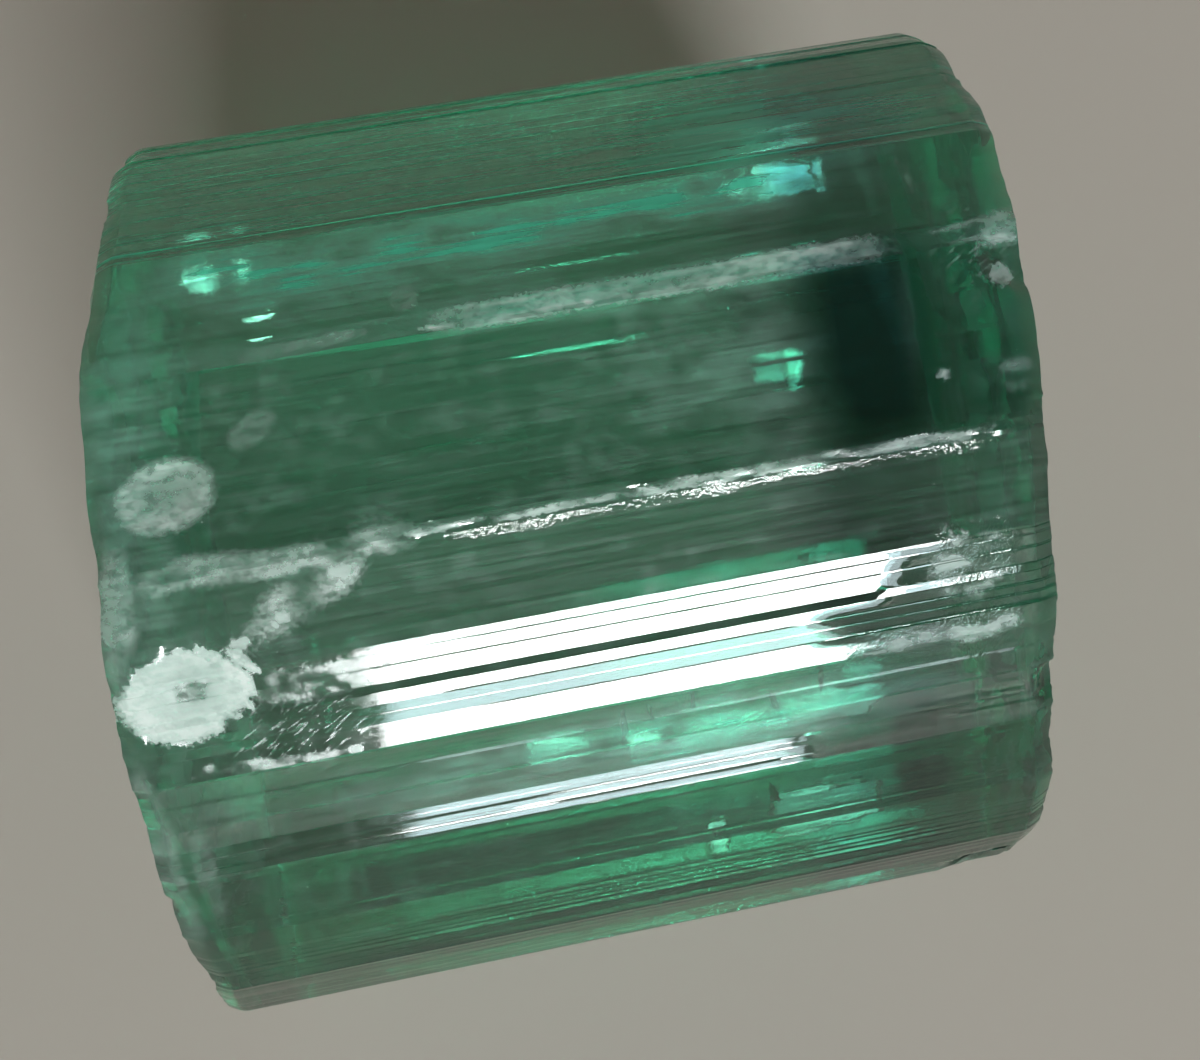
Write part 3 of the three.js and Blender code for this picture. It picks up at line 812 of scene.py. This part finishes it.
# Fine grit that eats into the rims of the pale marks, with slanted scratches and single specks
grit_noise = grain(13.0, 13.0, 3.0, 7.0)
scratches = grain(3.2, 15.0, 2.0, 3.0, slant=-32.0)
torn = maths("MULTIPLY", maths("SUBTRACT", grit_noise, 0.5), attribute_node("ragged"))
inside_rim = remap(maths("ADD", attribute_node("inward"), torn), 0.2, 0.75)
white = maths("MULTIPLY", attribute_node("pale"), inside_rim)
mottle = grain(4.5, 7.0, 3.0, 1.0)
white = maths("MULTIPLY", white, remap(mottle, 0.36, 0.56, 0.55, 1.0))
scratch_lines = remap(maths("ADD", scratches, maths("MULTIPLY", grit_noise, 0.3)), 0.66, 0.86, 0.0, 0.6)
scratch_lines = maths("MULTIPLY", attribute_node("scratched"), scratch_lines)
specks = remap(grit_noise, 0.71, 0.78, 0.0, 0.45)
white = maths("MAXIMUM", white, maths("MAXIMUM", scratch_lines, specks))
# Haze on each face, in the veils and in the painted glow, thinner over the deep zone
bluer = maths("MULTIPLY", attribute_node("deep"), on_side)
haze = maths("MULTIPLY", attribute_node("hazy"), remap(streaks, 0.3, 0.72, 0.5, 1.5))
# The veils, some of which are painted glow, add to the haze
veil_and_glow_haze = maths("MULTIPLY", attribute_node("painted_glow_and_veils"), remap(streaks, 0.3, 0.7, 0.6, 1.4))
haze = maths("ADD", haze, veil_and_glow_haze, clamp=True)
haze = maths("MULTIPLY", haze, remap(bluer, 0.0, 1.0, 1.0, 0.25))
clear = maths("SUBTRACT", 1.0, maths("MAXIMUM", haze, white), clamp=True)
links.new(clear, shader.inputs["Transmission Weight"])

# The skin's colour tints what shines through it. A hazier skin is a veil, bright green where it paints glow,
# and a crushed one is white
tint = blend(bluer, CLEAR_SKIN, DEEP_SKIN)
# Painted shade: on the lower faces the tint is blended towards black, which darkens what shines through them
tint = blend(attribute_node("painted_shade_factor"), PAINTED_SHADE_BLACK, tint)
veil = blend(bluer, GREEN_VEIL, DEEP_VEIL)
veil = blend(lie_end, veil, END_VEIL)
skin = blend(remap(haze, 0.0, FULL_HAZE), tint, veil)
skin = blend(white, skin, CRUSHED_WHITE)
links.new(skin, shader.inputs["Base Color"])
rough = maths("MAXIMUM", remap(haze, 0.0, FULL_HAZE, 0.03, 0.3), maths("MULTIPLY", white, 1.2))
links.new(maths("MAXIMUM", rough, maths("MULTIPLY", lie_end, 0.3)), shader.inputs["Roughness"])

# Relief finer than the mesh: the streaks, and the grit of the crumbly strips
FINE_RELIEF = 0.8e-6
GRIT_TO_STREAKS = 14.0
bump = nodes.new("ShaderNodeBump")
bump.inputs["Distance"].default_value = FINE_RELIEF
bump.inputs["Strength"].default_value = 1.0
crumbs = maths("MULTIPLY", maths("MULTIPLY", attribute_node("crumbly"), grit_noise), GRIT_TO_STREAKS)
links.new(maths("ADD", streaks, crumbs), bump.inputs["Height"])
links.new(bump.outputs["Normal"], shader.inputs["Normal"])
crystal_mesh.materials.append(material)

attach(crystal, "root")
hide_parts("tourmaline_crystal")

# The floor: a plain pale matt surface that stands for whatever the crystal lies on.
# It reaches far past the frame, and lies just under the crystal so that the two don't share a face.
FLOOR_REACH = 1.5
FLOOR_LEVEL = -0.02 * MM
FLOOR_COLOUR = (0.52, 0.49, 0.43, 1)
floor_mesh = bpy.data.meshes.new("floor")
floor_corners = [
    (x * FLOOR_REACH, y * FLOOR_REACH, FLOOR_LEVEL) for x, y in ((-1, -1), (1, -1), (1, 1), (-1, 1))
]
floor_mesh.from_pydata(floor_corners, [], [(0, 1, 2, 3)])
floor = bpy.data.objects.new("floor", floor_mesh)
bpy.context.scene.collection.objects.link(floor)
floor_material = bpy.data.materials.new("pale_floor")
floor_material.use_nodes = True
floor_skin = floor_material.node_tree.nodes["Principled BSDF"]
floor_skin.inputs["Base Color"].default_value = FLOOR_COLOUR
floor_skin.inputs["Roughness"].default_value = 0.9
floor_mesh.materials.append(floor_material)
floor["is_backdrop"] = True

# The light: one soft panel in front of the crystal, a little to the right, whose foot and sill are dimmer
# and bluer. The rest of the room is a dim warm grey that darkens upwards.
ROOM_COLOUR = (1.0, 0.86, 0.74, 1)
ROOM_LOW, ROOM_HIGH = 0.40, 0.06
WINDOW_X, WINDOW_WIDE = 42, 134
scene = bpy.context.scene
world = bpy.data.worlds.new("studio")
scene.world = world
world.use_nodes = True
wn, wl = world.node_tree.nodes, world.node_tree.links
background = wn["Background"]
coordinates = wn.new("ShaderNodeTexCoord")
split = wn.new("ShaderNodeSeparateXYZ")
wl.new(coordinates.outputs["Generated"], split.inputs["Vector"])
ramp = wn.new("ShaderNodeMapRange")
ramp.inputs["From Min"].default_value = 0.05
ramp.inputs["From Max"].default_value = 0.9
ramp.inputs["To Min"].default_value = ROOM_LOW
ramp.inputs["To Max"].default_value = ROOM_HIGH
wl.new(split.outputs["Z"], ramp.inputs["Value"])
wl.new(ramp.outputs["Result"], background.inputs["Strength"])
background.inputs["Color"].default_value = ROOM_COLOUR


def panel(name, elevation, tall, radiance, colour):
    """A soft light panel in front of the crystal, with the brightness that its face shows."""
    light = bpy.data.lights.new(name, "AREA")
    light.shape = "RECTANGLE"
    light.size = WINDOW_WIDE * MM
    light.size_y = tall * MM
    light.energy = radiance * math.pi * WINDOW_WIDE * tall * MM * MM
    light.color = colour
    holder = bpy.data.objects.new(name, light)
    scene.collection.objects.link(holder)
    back = Vector(sky_way(0, elevation))
    holder.location = Vector((WINDOW_X * MM, 0, AXIS_HEIGHT * MM)) + back * WINDOW_AWAY * MM
    holder.rotation_euler = back.to_track_quat("Z", "Y").to_euler()


panel("window", 25, 118, 36, (0.97, 0.98, 1.0))
panel("window foot", 13.8, 39, 13, (0.72, 0.95, 1.0))
panel("window sill", 7.0, 56, 6.5, (0.78, 0.95, 1.0))

# The camera: it looks down on the crystal from the front, close up, at the photograph's angle and framing.
# The focal length and the place of the crystal's middle are in pixels of the 1200 pixel wide frame.
CAMERA_ROLL = 9.12
FOCAL = 1947.0
MIDDLE_AT = (572.4, 503.4)
FRAME_SIZE = (1200, 1060)
az, roll = math.radians(LOOK_AZIMUTH), math.radians(CAMERA_ROLL)
back = Vector(sky_way(LOOK_AZIMUTH, LOOK_ELEVATION))
level = Vector((math.cos(az), math.sin(az), 0))
upright = back.cross(level)
right = level * math.cos(roll) - upright * math.sin(roll)
up = level * math.sin(roll) + upright * math.cos(roll)
centre = Vector((0, 0, AXIS_HEIGHT)) - Vector((middle.x, middle.y, 0)) / MM
place = centre + back * LOOK_FROM
aim = (
    centre
    + right * (FRAME_SIZE[0] / 2 - MIDDLE_AT[0]) / FOCAL * LOOK_FROM
    - up * (FRAME_SIZE[1] / 2 - MIDDLE_AT[1]) / FOCAL * LOOK_FROM
)
back = (place - aim).normalized()
right = (up.cross(back)).normalized()
up = back.cross(right)
camera_data = bpy.data.cameras.new("camera")
camera_data.sensor_width = 36
camera_data.lens = 36 * FOCAL / FRAME_SIZE[0]
camera_data.clip_start = 0.001
camera = bpy.data.objects.new("camera", camera_data)
scene.collection.objects.link(camera)
camera.matrix_world = Matrix(
    (
        (right.x, up.x, back.x, place.x * MM),
        (right.y, up.y, back.y, place.y * MM),
        (right.z, up.z, back.z, place.z * MM),
        (0, 0, 0, 1),
    )
)
scene.camera = camera
scene.view_settings.view_transform = "Standard"

# How many of the crystal's faces and cracks a light path may meet, and how closely the picture is sampled
scene.cycles.max_bounces = 10
scene.cycles.transmission_bounces = 10
scene.cycles.glossy_bounces = 4
scene.cycles.diffuse_bounces = 3
scene.cycles.use_adaptive_sampling = True
scene.cycles.adaptive_threshold = 0.14
scene.cycles.adaptive_min_samples = 8
scene.cycles.sample_clamp_indirect = 40
scene.cycles.use_denoising = True

low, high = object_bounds()
